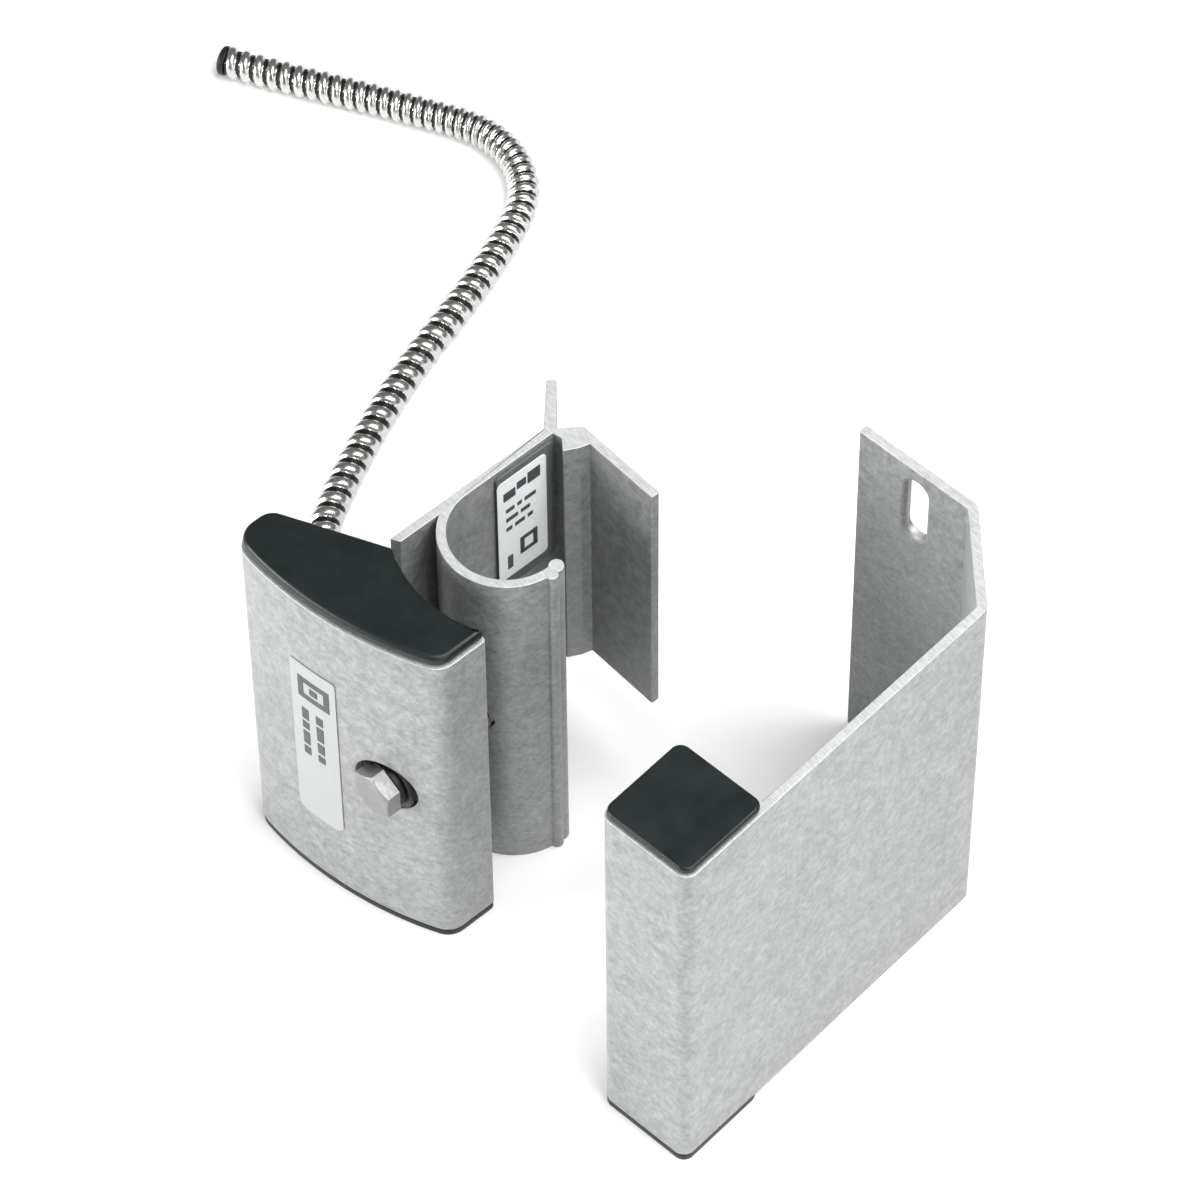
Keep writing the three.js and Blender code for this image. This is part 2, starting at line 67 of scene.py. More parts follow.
def make_camera():
    """A long lens that looks down at the parts from the photograph's viewing angle."""
    data = bpy.data.cameras.new("camera")
    data.sensor_width = 36
    data.lens = CAMERA_LENS
    data.clip_end = 20
    camera = bpy.data.objects.new("camera", data)
    camera.matrix_world = (
        Matrix.Translation(CAMERA_PLACE)
        @ Matrix.Rotation(math.radians(CAMERA_TURN), 4, "Z")
        @ Matrix.Rotation(math.radians(90 - CAMERA_DOWN), 4, "X")
        @ Matrix.Rotation(math.radians(CAMERA_ROLL), 4, "Z")
    )
    bpy.context.scene.collection.objects.link(camera)
    bpy.context.scene.camera = camera


make_camera()


# ---- Node materials --------------------------------------------------------------------
class Look:
    """A Principled material and short ways to wire textures into it."""

    # Places of a Mix node's factor and two colours among its inputs, and of its colour among its outputs.
    COLOUR_MIX_INPUTS = (0, 6, 7)
    COLOUR_MIX_OUTPUT = 2

    def __init__(self, name, colour, roughness, metallic=0.0, **sockets):
        self.material = bpy.data.materials.new(name)
        self.material.use_nodes = True
        self.tree = self.material.node_tree
        self.shader = self.tree.nodes["Principled BSDF"]
        self.colour = colour
        self.set(self.shader, "Base Color", (*colour, 1))
        self.set(self.shader, "Roughness", roughness)
        self.set(self.shader, "Metallic", metallic)
        for socket, value in sockets.items():
            self.set(self.shader, socket.replace("_", " "), value)
        self.place = self.tree.nodes.new("ShaderNodeTexCoord").outputs["Object"]

    def set(self, node, socket, value):
        """Sets a socket to a constant, or links it to another node's output."""
        if isinstance(value, bpy.types.NodeSocket):
            self.tree.links.new(value, node.inputs[socket])
        else:
            node.inputs[socket].default_value = value

    def node(self, kind, output, **sockets):
        """Adds a node and returns one of its outputs."""
        made = self.tree.nodes.new(kind)
        for socket, value in sockets.items():
            self.set(made, socket.replace("_", " "), value)
        return made.outputs[output]

    def stretched(self, scale):
        """Object coordinates scaled by a factor for each axis."""
        return self.node("ShaderNodeMapping", "Vector", Vector=self.place, Scale=scale)

    def noise(self, scale, detail, place=None, roughness=0.55):
        """Noise, in object coordinates unless a place is given."""
        return self.node(
            "ShaderNodeTexNoise", "Fac", Vector=place or self.place, Scale=scale, Detail=detail,
            Roughness=roughness)

    def cells(self, scale):
        return self.node("ShaderNodeTexVoronoi", "Distance", Vector=self.place, Scale=scale)

    def ramp(self, value, low, high, to_low=0.0, to_high=1.0):
        """Maps low..high to to_low..to_high, with both ends held."""
        made = self.tree.nodes.new("ShaderNodeMapRange")
        for socket, number in enumerate((value, low, high, to_low, to_high)):
            self.set(made, socket, number)
        return made.outputs["Result"]

    def maths(self, operation, a, b=0.0):
        """Result of a Math node on two values or outputs."""
        made = self.tree.nodes.new("ShaderNodeMath")
        made.operation = operation
        for socket, value in enumerate((a, b)):
            self.set(made, socket, value)
        return made.outputs[0]

    def mix(self, factor, a, b):
        """Blends two colours or colour outputs by a factor."""
        made = self.tree.nodes.new("ShaderNodeMix")
        made.data_type = "RGBA"
        for socket, value in zip(self.COLOUR_MIX_INPUTS, (factor, a, b)):
            constant = isinstance(value, tuple)
            self.set(made, socket, (*value, 1) if constant else value)
        return made.outputs[self.COLOUR_MIX_OUTPUT]

    def tint(self, factor, darker, lighter):
        """The material's colour, from darker to lighter along a factor."""
        low = tuple(c * darker for c in self.colour)
        high = tuple(min(c * lighter, 1.0) for c in self.colour)
        return self.mix(factor, low, high)

    def upward(self):
        """How squarely a surface faces up or down, from 0 to 1."""
        normal = self.tree.nodes.new("ShaderNodeNewGeometry").outputs["Normal"]
        apart = self.tree.nodes.new("ShaderNodeSeparateXYZ")
        self.set(apart, 0, normal)
        return self.maths("ABSOLUTE", apart.outputs["Z"])

    def bump(self, height, depth, strength):
        """Raises the surface by a height output, to a depth in metres."""
        made = self.tree.nodes.new("ShaderNodeBump")
        made.inputs["Strength"].default_value = strength
        made.inputs["Distance"].default_value = depth
        self.set(made, "Height", height)
        self.set(self.shader, "Normal", made.outputs["Normal"])

    def paint(self, colour, roughness):
        """Wires outputs into the shader's colour and roughness."""
        self.set(self.shader, "Base Color", colour)
        self.set(self.shader, "Roughness", roughness)


def aluminium_look():
    """Matte, lightly mottled extrusion, with faint draw lines, and sawn ends painted lighter on faces that
    face up or down: partly their bare cut metal, partly painted top light.
    """
    look = Look("aluminium", (0.28, 0.289, 0.285), 0.5, 0.4)
    grain = look.noise(720, 5.0, roughness=0.7)
    blotch = look.noise(260, 3.0)
    cloud = look.noise(38, 2.0)
    draw_lines = look.noise(1.0, 3.0, look.stretched((1900, 1900, 16)))
    fine = look.ramp(grain, 0.32, 0.68, 0, 0.62)
    medium = look.ramp(blotch, 0.35, 0.65, 0, 0.26)
    coarse = look.ramp(cloud, 0.3, 0.7, 0, 0.12)
    mottle = look.maths("ADD", look.maths("ADD", fine, medium), coarse)
    sides = look.tint(mottle, 0.58, 1.42)
    saw_marks = look.noise(1.0, 2.0, look.stretched((420, 2600, 200)))
    ends = look.mix(look.ramp(saw_marks, 0.35, 0.65), (0.4, 0.41, 0.41), (0.54, 0.55, 0.55))
    # Faces that face up or down take the lighter sawn-end colour: partly bare cut metal, partly painted top
    # light.
    end = look.ramp(look.upward(), 0.6, 0.9)
    look.paint(look.mix(end, sides, ends), look.ramp(mottle, 0.2, 0.8, 0.42, 0.6))
    relief = look.maths("ADD", look.maths("MULTIPLY", grain, 0.7), look.maths("MULTIPLY", draw_lines, 0.3))
    look.bump(relief, 0.00012, 0.5)
    return look.material


def plastic_look(name, colour, roughness=0.36):
    """Moulded plastic with a fine spark-eroded grain."""
    look = Look(name, colour, roughness, Specular_IOR_Level=0.3)
    grain = look.cells(3200)
    cloud = look.noise(120, 3.0)
    look.paint(look.tint(cloud, 0.75, 1.3), look.ramp(cloud, 0.3, 0.7, roughness - 0.05, roughness + 0.08))
    look.bump(grain, 0.00004, 0.35)
    return look.material


def film_look(name, colour, roughness=0.42):
    """Printed film or ink, with the slight waviness of a hand-laid label."""
    look = Look(name, colour, roughness)
    wave = look.noise(260, 2.0)
    look.paint(look.tint(wave, 0.94, 1.04), look.ramp(wave, 0.3, 0.7, roughness - 0.06, roughness + 0.08))
    look.bump(wave, 0.00006, 0.3)
    return look.material


def steel_look(name, colour, roughness, scratch=(900, 900, 900)):
    """Plated or drawn steel, with fine scratches and dull patches."""
    look = Look(name, colour, roughness, 1.0)
    lines = look.noise(1.0, 4.0, look.stretched(scratch))
    patches = look.noise(240, 3.0)
    look.paint(look.tint(patches, 0.8, 1.1), look.ramp(lines, 0.3, 0.7, roughness - 0.06, roughness + 0.12))
    look.bump(lines, 0.00003, 0.4)
    return look.material


def dull_look(name, colour, roughness, scale, depth=0.0001):
    """Resin, board, rubber or ferrite: a plain body with a grain of one size."""
    look = Look(name, colour, roughness)
    grain = look.noise(scale, 4.0)
    look.paint(look.tint(grain, 0.7, 1.3), look.ramp(grain, 0.3, 0.7, roughness - 0.08, roughness + 0.1))
    look.bump(grain, depth, 0.5)
    return look.material


def glass_look():
    """Clear green glass with a faint waviness."""
    look = Look("reed_glass", (0.62, 0.85, 0.74), 0.05, Transmission_Weight=0.9, IOR=1.5)
    look.bump(look.noise(300, 2.0), 0.00001, 0.2)
    return look.material


ALUMINIUM = aluminium_look()
BLACK = plastic_look("black_plastic", (0.006, 0.0095, 0.0095))
LABEL = film_look("label_film", (0.346, 0.35, 0.35))
CLAMP_LABEL = film_look("clamp_label_film", (0.86, 0.87, 0.88))
INK = film_look("label_ink", (0.055, 0.06, 0.062), 0.5)
ARMOUR = steel_look("cable_steel", (0.6, 0.6, 0.58), 0.22, (1500, 1500, 1500))
# Dark steel for the bottoms of the armour's grooves: painted shade.
ARMOUR_GROOVE_SHADE = steel_look("cable_groove_painted_shade", (0.035, 0.035, 0.034), 0.45)
ZINC = steel_look("bolt_steel", (0.29, 0.29, 0.285), 0.46)
# Near-black washer steel: painted contact shadow beside the bolt head.
WASHER_SHADOW_STEEL = steel_look("washer_painted_shadow_steel", (0.05, 0.05, 0.05), 0.45)
NICKEL = steel_look("gland_metal", (0.56, 0.56, 0.55), 0.28)
# Dark pad under the clamp label; its margin beside the label's edges is painted shade.
PAD_WITH_EDGE_SHADE = dull_look("pad", (0.1, 0.108, 0.108), 0.75, 1200)

HIDDEN_LOOKS = {
    "potting_block": dull_look("potting", (0.035, 0.035, 0.033), 0.35, 260, 0.0002),
    "circuit_board": dull_look("board", (0.035, 0.16, 0.07), 0.4, 500),
    "reed_glass": glass_look(),
    "reed_blade_upper": steel_look("reed_alloy", (0.6, 0.57, 0.5), 0.25),
    "terminal_strip": steel_look("terminals", (0.72, 0.5, 0.3), 0.3),
    "lead_wire_red": plastic_look("wire_red", (0.45, 0.02, 0.015), 0.4),
    "lead_wire_black": plastic_look("wire_black", (0.015, 0.015, 0.015), 0.4),
    "gland_locknut": NICKEL,
    "spacer_block": ALUMINIUM,
    "magnet_cradle": plastic_look("cradle", (0.66, 0.63, 0.55), 0.45),
    "magnet_bar_lower": dull_look("magnet", (0.085, 0.085, 0.09), 0.5, 1500),
    "magnet_spacer": dull_look("foam", (0.03, 0.03, 0.03), 0.9, 2500, 0.0003),
}
HIDDEN_LOOKS["reed_blade_lower"] = HIDDEN_LOOKS["reed_blade_upper"]
HIDDEN_LOOKS["magnet_bar_upper"] = HIDDEN_LOOKS["magnet_bar_lower"]


# ---- Meshes ----------------------------------------------------------------------------
SAME_PLACE = 1e-7       # Metres under which two corners of a new mesh are one.
SHORT_EDGE = 0.15       # Edges that a cut leaves shorter than this are closed up.
SHARP_ANGLE = 40


def new_piece(name, vertices, faces):
    """An object from vertices in millimetres, with its faces turned outwards."""
    mesh = bpy.data.meshes.new(name)
    mesh.from_pydata([tuple(c * MM for c in v) for v in vertices], [], faces)
    work = bmesh.new()
    work.from_mesh(mesh)
    bmesh.ops.remove_doubles(work, verts=work.verts, dist=SAME_PLACE)
    bmesh.ops.recalc_face_normals(work, faces=work.faces)
    work.to_mesh(mesh)
    work.free()
    piece = bpy.data.objects.new(name, mesh)
    bpy.context.scene.collection.objects.link(piece)
    return piece


def prism(name, outline, low, high):
    """Upright solid between two heights, with an outline in plan."""
    count = len(outline)
    vertices = [(x, y, z) for z in (low, high) for x, y in outline]
    faces = [tuple(range(count)), tuple(range(count, 2 * count))]
    faces += [(i, (i + 1) % count, (i + 1) % count + count, i + count) for i in range(count)]
    return new_piece(name, vertices, faces)


def turned(name, profile, steps=72):
    """Solid turned about +Z from a closed profile of (radius, height) points."""
    count = len(profile)
    vertices, faces = [], []
    for i in range(steps):
        angle = 2 * math.pi * i / steps
        vertices += [(r * math.cos(angle), r * math.sin(angle), z) for r, z in profile]
        for k in range(count):
            here, on = i * count, (i + 1) % steps * count
            if profile[k][0] > 0 or profile[(k + 1) % count][0] > 0:
                faces.append((here + k, on + k, on + (k + 1) % count, here + (k + 1) % count))
    return new_piece(name, vertices, faces)


def apply_modifiers(piece):
    """Replaces a piece's mesh by what its modifiers make of it."""
    graph = bpy.context.evaluated_depsgraph_get()
    mesh = bpy.data.meshes.new_from_object(piece.evaluated_get(graph))
    piece.modifiers.clear()
    piece.data = mesh


def combine(piece, operation, *tools):
    """Unites, cuts or intersects a piece with other solids, which are used up."""
    for tool in tools:
        step = piece.modifiers.new("step", "BOOLEAN")
        step.operation = operation
        step.solver = "EXACT"
        step.object = tool
        apply_modifiers(piece)
        bpy.data.objects.remove(tool)
    return piece


def tidied(piece, *heights):
    """Closes short edges, and splits the sides at heights so that shading stays even."""
    work = bmesh.new()
    work.from_mesh(piece.data)
    bmesh.ops.remove_doubles(work, verts=work.verts, dist=SHORT_EDGE * MM)
    for z in heights:
        everything = work.verts[:] + work.edges[:] + work.faces[:]
        bmesh.ops.bisect_plane(work, geom=everything, plane_co=(0, 0, z * MM), plane_no=(0, 0, 1))
    work.to_mesh(piece.data)
    work.free()
    return piece


def moved(piece, *matrices):
    """Transforms a piece's mesh by each matrix in turn; the object itself stays at the origin."""
    for matrix in matrices:
        piece.data.transform(matrix)
    return piece


def shift(x, y, z):
    """A move in millimetres."""
    return Matrix.Translation((x * MM, y * MM, z * MM))


def turn(degrees, axis):
    """A turn about an axis through the origin."""
    return Matrix.Rotation(math.radians(degrees), 4, axis)


def ease(piece, width, segments=2, angle=35):
    """Rounds every edge that is sharper than an angle."""
    bevel = piece.modifiers.new("eased_edges", "BEVEL")
    bevel.width = width * MM
    bevel.segments = segments
    bevel.limit_method = "ANGLE"
    bevel.angle_limit = math.radians(angle)
    bevel.use_clamp_overlap = False
    return piece


def finished(piece, look, body, replaced=(), keep_sharp=False):
    """Smooth shading, material and body for a piece whose shape is done, with the CAD nodes it replaces
    hidden.
    """
    for polygon in piece.data.polygons:
        polygon.use_smooth = True
    if keep_sharp:
        piece.data.set_sharp_from_angle(angle=math.radians(SHARP_ANGLE))
    weighted = piece.modifiers.new("face_normals", "WEIGHTED_NORMAL")
    weighted.keep_sharp = keep_sharp
    if not piece.data.materials:
        piece.data.materials.append(look)
    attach(piece, body)
    if replaced:
        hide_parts(*replaced)
    return piece


# ---- Outlines --------------------------------------------------------------------------
CORNER_STEP = 9         # Degrees between the points of a rounded corner.


def arc(centre, radius, start, end, step):
    """Points along an arc between two angles in degrees, both ends included, at most a step apart."""
    count = max(2, math.ceil(abs(end - start) / step))
    angles = [math.radians(start + (end - start) * i / count) for i in range(count + 1)]
    return [(centre[0] + radius * math.cos(a), centre[1] + radius * math.sin(a)) for a in angles]


def rounded(corners):
    """Rounds an outline's corners; a corner is (x, y, radius), or (x, y) to stay sharp."""
    points = []
    for i, corner in enumerate(corners):
        here = Vector(corner[:2])
        if len(corner) == 2 or not corner[2]:
            points.append(tuple(here))
            continue
        radius = corner[2]
        back = (Vector(corners[i - 1][:2]) - here).normalized()
        on = (Vector(corners[(i + 1) % len(corners)][:2]) - here).normalized()
        half = math.acos(max(-1.0, min(1.0, back.dot(on)))) / 2
        centre = here + (back + on).normalized() * (radius / math.sin(half))
        ends = [here + way * (radius / math.tan(half)) - centre for way in (back, on)]
        start, end = (math.degrees(math.atan2(end.y, end.x)) for end in ends)
        sweep = (end - start + 180) % 360 - 180
        points += arc(centre, radius, start, start + sweep, CORNER_STEP)
    return points


def between(start, end, count):
    """Evenly spread values strictly between two ends."""
    return [start + (end - start) * (i + 1) / (count + 1) for i in range(count)]


def disc(centre, radius, step=6.0):
    """A full circle's points."""
    return arc(centre, radius, 0, 360 - step, step)


# ---- Cable -----------------------------------------------------------------------------
CABLE_DIAMETER = 8.2
BACK_SLOPE = 0.5        # Rise of the housing's sloped back along its width.
GLAND_PLACE = (-33, 4.4, 12.5)
GLAND_TURN = math.degrees(math.atan(BACK_SLOPE))
FERRULE_LENGTH = 10.5

CABLE_STEP = 0.26       # Distance between the rings of the armour's mesh.

# The cable's centreline, in metres: the route of the CAD model's cable.
CABLE_ROUTE = [
    (-0.0349, 0.0082, 0.0125), (-0.0375, 0.0133, 0.0124), (-0.0428, 0.0215, 0.0113),
    (-0.0499, 0.0283, 0.0090), (-0.0583, 0.0334, 0.0066), (-0.0677, 0.0365, 0.0049),
    (-0.0770, 0.0396, 0.0043), (-0.0853, 0.0446, 0.0042), (-0.0925, 0.0515, 0.0042),
    (-0.0978, 0.0597, 0.0042), (-0.1050, 0.0739, 0.0042), (-0.1115, 0.0885, 0.0042),
    (-0.1172, 0.1039, 0.0042), (-0.1218, 0.1190, 0.0042), (-0.1270, 0.1345, 0.0042),
    (-0.1334, 0.1495, 0.0042), (-0.1368, 0.1548, 0.0042), (-0.1415, 0.1591, 0.0042),
    (-0.1472, 0.1620, 0.0042), (-0.1534, 0.1632, 0.0042), (-0.1598, 0.1628, 0.0042),
    (-0.1658, 0.1608, 0.0042), (-0.1764, 0.1554, 0.0042), (-0.1876, 0.1494, 0.0042),
    (-0.1985, 0.1432, 0.0042), (-0.2099, 0.1368, 0.0042), (-0.2217, 0.1306, 0.0042),
]


def smooth_path(points, steps=24):
    """A centripetal Catmull-Rom curve through points."""
    points = [Vector(p) for p in points]
    points = [2 * points[0] - points[1], *points, 2 * points[-1] - points[-2]]
    path = []
    for p0, p1, p2, p3 in zip(points, points[1:], points[2:], points[3:]):
        d0, d1, d2 = (math.sqrt((b - a).length) for a, b in ((p0, p1), (p1, p2), (p2, p3)))
        out = ((p1 - p0) / d0 - (p2 - p0) / (d0 + d1) + (p2 - p1) / d1) * d1
        into = ((p2 - p1) / d1 - (p3 - p1) / (d1 + d2) + (p3 - p2) / d2) * d1
        for i in range(steps):
            t = i / steps
            path.append(
                p1 * (2 * t**3 - 3 * t**2 + 1) + out * (t**3 - 2 * t**2 + t)
                + p2 * (3 * t**2 - 2 * t**3) + into * (t**3 - t**2))
    return path + [points[-2]]


def even_steps(path, spacing):
    """The same path in steps of about one length, and the distance along it at each point."""
    lengths = [0.0]
    for a, b in zip(path, path[1:]):
        lengths.append(lengths[-1] + (b - a).length)
    count = round(lengths[-1] / spacing)
    points, distances, k = [], [], 0
    for i in range(count + 1):
        distance = lengths[-1] * i / count
        while k < len(path) - 2 and lengths[k + 1] < distance:
            k += 1
        share = (distance - lengths[k]) / (lengths[k + 1] - lengths[k])
        points.append(path[k].lerp(path[k + 1], share))
        distances.append(distance)
    return points, distances


def ribbed_tube(name, path, turns, radius_at, around=36):
    """A tube whose radius follows a helix: radius_at gives it for each share of a turn.

    path is in metres, turns holds the helix's turn at each of its points, and radii are in metres.
    """
    tangents = [(b - a).normalized() for a, b in zip([path[0], *path], [*path[1:], path[-1]])]
    tangents[0], tangents[-1] = tangents[1], tangents[-2]
    side = tangents[0].cross(Vector((0, 0, 1))).normalized()
    vertices, faces, shares = [], [], []
    for i, (point, tangent, turned_by) in enumerate(zip(path, tangents, turns)):
        side = (side - tangent * side.dot(tangent)).normalized()
        up = tangent.cross(side)
        for k in range(around):
            share = (turned_by - k / around) % 1.0
            angle = 2 * math.pi * k / around
            reach = radius_at(share)
            vertices.append((point + (side * math.cos(angle) + up * math.sin(angle)) * reach) / MM)
            shares.append(share)
            if i:
                here, on = i * around, (k + 1) % around
                faces.append((here - around + k, here - around + on, here + on, here + k))
    faces += [tuple(range(around)), tuple(range(len(vertices) - around, len(vertices)))]
    return new_piece(name, vertices, faces), shares


RIB_SHARE = 0.62        # Share of the pitch that the rib takes; the groove has the rest.
RIB_HEIGHT = 0.8
GROOVE_SHADE_MARGIN = 0.02    # The groove's painted shade starts this share of a turn before its bottom does.

# Distances along the cable and the ribs' pitch there: open where straight, crowded in the bend.
RIB_PITCHES = ((0, 4.6), (140, 4.7), (175, 3.7), (212, 2.5), (240, 3.1), (284, 3.8))


def armour_radius(share):
    """Radius (m) of interlocked strip at a share of a turn: a rounded rib, then a narrow flat groove."""
    across = abs(2 * share / RIB_SHARE - 1)
    rise = (1 - across**2.4) ** 0.5 if across < 1 else 0.0
    return (CABLE_DIAMETER / 2 - RIB_HEIGHT * (1 - rise)) * MM


def rib_pitch(distance):
    """Pitch of the ribs at a distance along the cable, both in millimetres."""
    for (start, first), (end, last) in zip(RIB_PITCHES, RIB_PITCHES[1:]):
        if distance <= end:
            return first + (last - first) * (distance - start) / (end - start)
    return RIB_PITCHES[-1][1]


def armour_turns(distances):
    """The helix's turn at each distance along the cable."""
    turns = [0.0]
    for before, here in zip(distances, distances[1:]):
        turns.append(turns[-1] + (here - before) / MM / rib_pitch(here / MM))
    return turns


def make_cable():
    """The armoured cable, from the ferrule's mouth to its cut end, with painted shade in the deep of its
    grooves.
    """
    path, distances = even_steps(smooth_path(CABLE_ROUTE), CABLE_STEP * MM)
    cable, shares = ribbed_tube("cable_armour", path, armour_turns(distances), armour_radius)
    cable.data.materials.append(ARMOUR)
    cable.data.materials.append(ARMOUR_GROOVE_SHADE)
    # Faces deep in each groove take the dark material: painted shade.
    for polygon in cable.data.polygons:
        if len(polygon.vertices) == 4:
            in_groove_shade = all(shares[v] > RIB_SHARE - GROOVE_SHADE_MARGIN for v in polygon.vertices)
            polygon.material_index = 1 if in_groove_shade else 0
    finished(cable, ARMOUR, "sensor", ["armoured_cable"])
    make_end_bushing(path)


def make_end_bushing(path):
    """Black bushing pressed into the armour's cut end, with the leads' opening through it."""
    profile = rounded([(2.1, 0.1), (3.8, 0.1, 0.2), (3.8, 1.5, 0.5), (2.9, 2.1, 0.4), (2.1, 2.1, 0.3)])
    bushing = turned("cable_end_bushing_trim", profile, 48)
    heading = (path[-1] - path[-2]).normalized()
    aim = heading.to_track_quat("Z", "Y").to_matrix().to_4x4()
    moved(bushing, aim, Matrix.Translation(path[-1]))
    return finished(bushing, BLACK, "sensor", ["cable_end_bushing"])


make_cable()


# ---- Sensor housing --------------------------------------------------------------------
FRONT_RADIUS = 98       # Of the bow in the housing's front, seen from above.
FRONT_CENTRE = (-31.5, 85.4)
HOUSING_WALL = 2.2
SADDLE_RADIUS = 32
SADDLE_LOW_Y = 8.5
SADDLE_X = -1.6
BACK_LEFT_Y = -1
SPOT_FACE_RADIUS = 7.6
BOLT_HOLE_RADIUS = 3.6
BOLT_Z = 53
GLAND_HOLE_RADIUS = 5.1
EXTRUSION_EASE = 0.28
TOP_RIM_INSET = 0.5
FOOT_RIM_INSET = 0.15
FOOT_RIM_EASE = 0.4
PLUG_OVERLAP = 0.2      # How far a cap's plug runs into its rim, so that the two join.
HOUSING_X = span("sensor_housing", 0)
HOUSING_Z = span("sensor_housing", 2)


def housing_outline(distance=0.0):
    """Plan of the housing moved inwards: bowed front, sloped back, and the hollow to the track."""
    centre_x, centre_y = FRONT_CENTRE
    left, right = HOUSING_X[0] + distance, HOUSING_X[1] - distance

    def front_y(x):
        return centre_y - math.sqrt((FRONT_RADIUS - distance) ** 2 - (x - centre_x) ** 2)

    def back_y(x):
        return BACK_LEFT_Y + (x - HOUSING_X[0]) * BACK_SLOPE - distance * math.hypot(1, BACK_SLOPE)

    def saddle_y(x):
        drop = math.sqrt((SADDLE_RADIUS + distance) ** 2 - (x - SADDLE_X) ** 2)
        return SADDLE_LOW_Y + SADDLE_RADIUS - drop

    # The crest, where the sloped back meets the hollow, is found by halving.
    crest, beyond = left, SADDLE_X
    while beyond - crest > 1e-4:
        middle = (crest + beyond) / 2
        crest, beyond = (middle, beyond) if back_y(middle) < saddle_y(middle) else (crest, middle)

    def radius(full):
        """A corner's radius once the outline has moved inwards."""
        return max(full - distance, 0.6)

    return rounded([
        (left, front_y(left), radius(6)),
        *[(x, front_y(x)) for x in between(left + 6, right - 4, 20)],
        (right, front_y(right), radius(5.5)),
        (right, saddle_y(right), radius(1.1)),
        *[(x, saddle_y(x)) for x in between(right - 1, crest + 0.8, 18)],
        (crest, back_y(crest), radius(1.8)),
        (left, back_y(left), radius(5)),
    ])


def on_bolt_axis(piece, y):
    """Lays a piece made along +Z on the bolt's axis, from y towards the nut."""
    return moved(piece, turn(-90, "X"), shift(0, y, BOLT_Z))


def on_gland_axis(piece):
    """Lays a piece made along +Z on the gland's axis, which points out of the sloped back."""
    return moved(piece, turn(-90, "X"), turn(GLAND_TURN, "Z"), shift(*GLAND_PLACE))


def bolt_cut(radius, low, high):
    """Cylinder on the bolt's axis between two places along Y, used for round cuts."""
    return on_bolt_axis(prism("cut", disc((0, 0), radius, 5), low, high), 0)


def make_housing():
    """Hollow extrusion with the bolt's spot face and hole, and the gland's hole in its back."""
    housing = prism("housing_shell", housing_outline(), *HOUSING_Z)
    bore = prism("bore", housing_outline(HOUSING_WALL), HOUSING_Z[0] - 1, HOUSING_Z[1] + 1)
    spot_face = bolt_cut(SPOT_FACE_RADIUS, -20, 0)
    bolt_hole = bolt_cut(BOLT_HOLE_RADIUS, 0, 20)
    gland_hole = on_gland_axis(prism("cut", disc((0, 0), GLAND_HOLE_RADIUS), -8, 6))
    combine(housing, "DIFFERENCE", bore, spot_face, bolt_hole, gland_hole)
    below_and_above = (BOLT_Z - 9, BOLT_Z + 9, GLAND_PLACE[2] - 6.5, GLAND_PLACE[2] + 6.5)
    tidied(housing, *below_and_above)
    ease(housing, EXTRUSION_EASE, 3)
    finished(housing, ALUMINIUM, "sensor", ["sensor_housing"])


def moulded_cap(name, rim_outline, plug_outline, rim, plug, rounding):
    """End cap: a softly rounded rim over an extrusion's end, and a plug inside it."""
    cap = ease(prism(name, rim_outline, *rim), rounding, 4)
    apply_modifiers(cap)
    return combine(cap, "UNION", prism("plug", plug_outline, *plug))


def top_heights(node, extrusion_top):
    """Heights of a top cap's rim and of its plug."""
    low, high = span(node, 2)
    rim_low = extrusion_top + GAP
    return (rim_low, high), (low, rim_low + PLUG_OVERLAP)


def foot_heights(node, extrusion_foot):
    """Heights of a bottom cap's rim and of its plug."""
    low, high = span(node, 2)
    rim_high = extrusion_foot - GAP
    return (low, rim_high), (rim_high - PLUG_OVERLAP, high)


def make_housing_caps():
    """The housing's two end caps."""
    plug_outline = housing_outline(HOUSING_WALL + GAP)
    top = moulded_cap(
        "top_cap_moulding", housing_outline(TOP_RIM_INSET), plug_outline,
        *top_heights("housing_top_cap", HOUSING_Z[1]), 1.15)
    foot = moulded_cap(
        "foot_cap_moulding", housing_outline(FOOT_RIM_INSET), plug_outline,
        *foot_heights("housing_bottom_cap", HOUSING_Z[0]), FOOT_RIM_EASE)
    for cap, node in ((top, "housing_top_cap"), (foot, "housing_bottom_cap")):
        finished(cap, BLACK, "sensor", [node], keep_sharp=True)


def make_gland():
    """Bushing through the sloped back: hexagon flange, knurled ferrule and threaded neck."""
    profile = rounded([
        (2.6, -5.6), (4.8, -5.6, 0.3), (4.8, 0.3), (5.6, 0.3), (5.6, 2.2), (6.0, 2.9, 0.3), (6.0, 3.8, 0.3),
        (5.5, 4.1, 0.2), (5.5, 4.9, 0.2), (6.0, 5.2, 0.3), (6.0, 9.6, 0.4),
        (5.6, FERRULE_LENGTH, 0.4), (4.6, FERRULE_LENGTH, 0.3), (4.6, 3), (2.6, 3),
    ])
    gland = turned("gland_ferrule", profile, 64)
    low, high = GAP, GAP + 2
    flange = prism("flange", arc((0, 0), 7, 0, 300, 60), low, high)
    chamfer = turned("chamfer", [(0, low), (6.9, low), (6.9, 1.7), (6.2, high), (0, high)], 64)
    combine(flange, "INTERSECT", chamfer)
    combine(flange, "DIFFERENCE", prism("cut", disc((0, 0), 5.2), 0, 3))
    combine(gland, "UNION", flange)
    on_gland_axis(gland)
    ease(gland, 0.1, 2)
    finished(gland, NICKEL, "sensor", ["cable_gland"], keep_sharp=True)


make_housing()
make_housing_caps()
make_gland()


# ---- Labels ----------------------------------------------------------------------------
FILM = 0.14             # Thickness of a label.
INK_RISE = 0.03         # Thickness of its print.
LABEL_GAP = 0.1         # Clearance under the sensor's label and under the clamp's pad.
PAD_THICKNESS = 0.7
CLAMP_LABEL_HEIGHT = LABEL_GAP + PAD_THICKNESS + 0.02


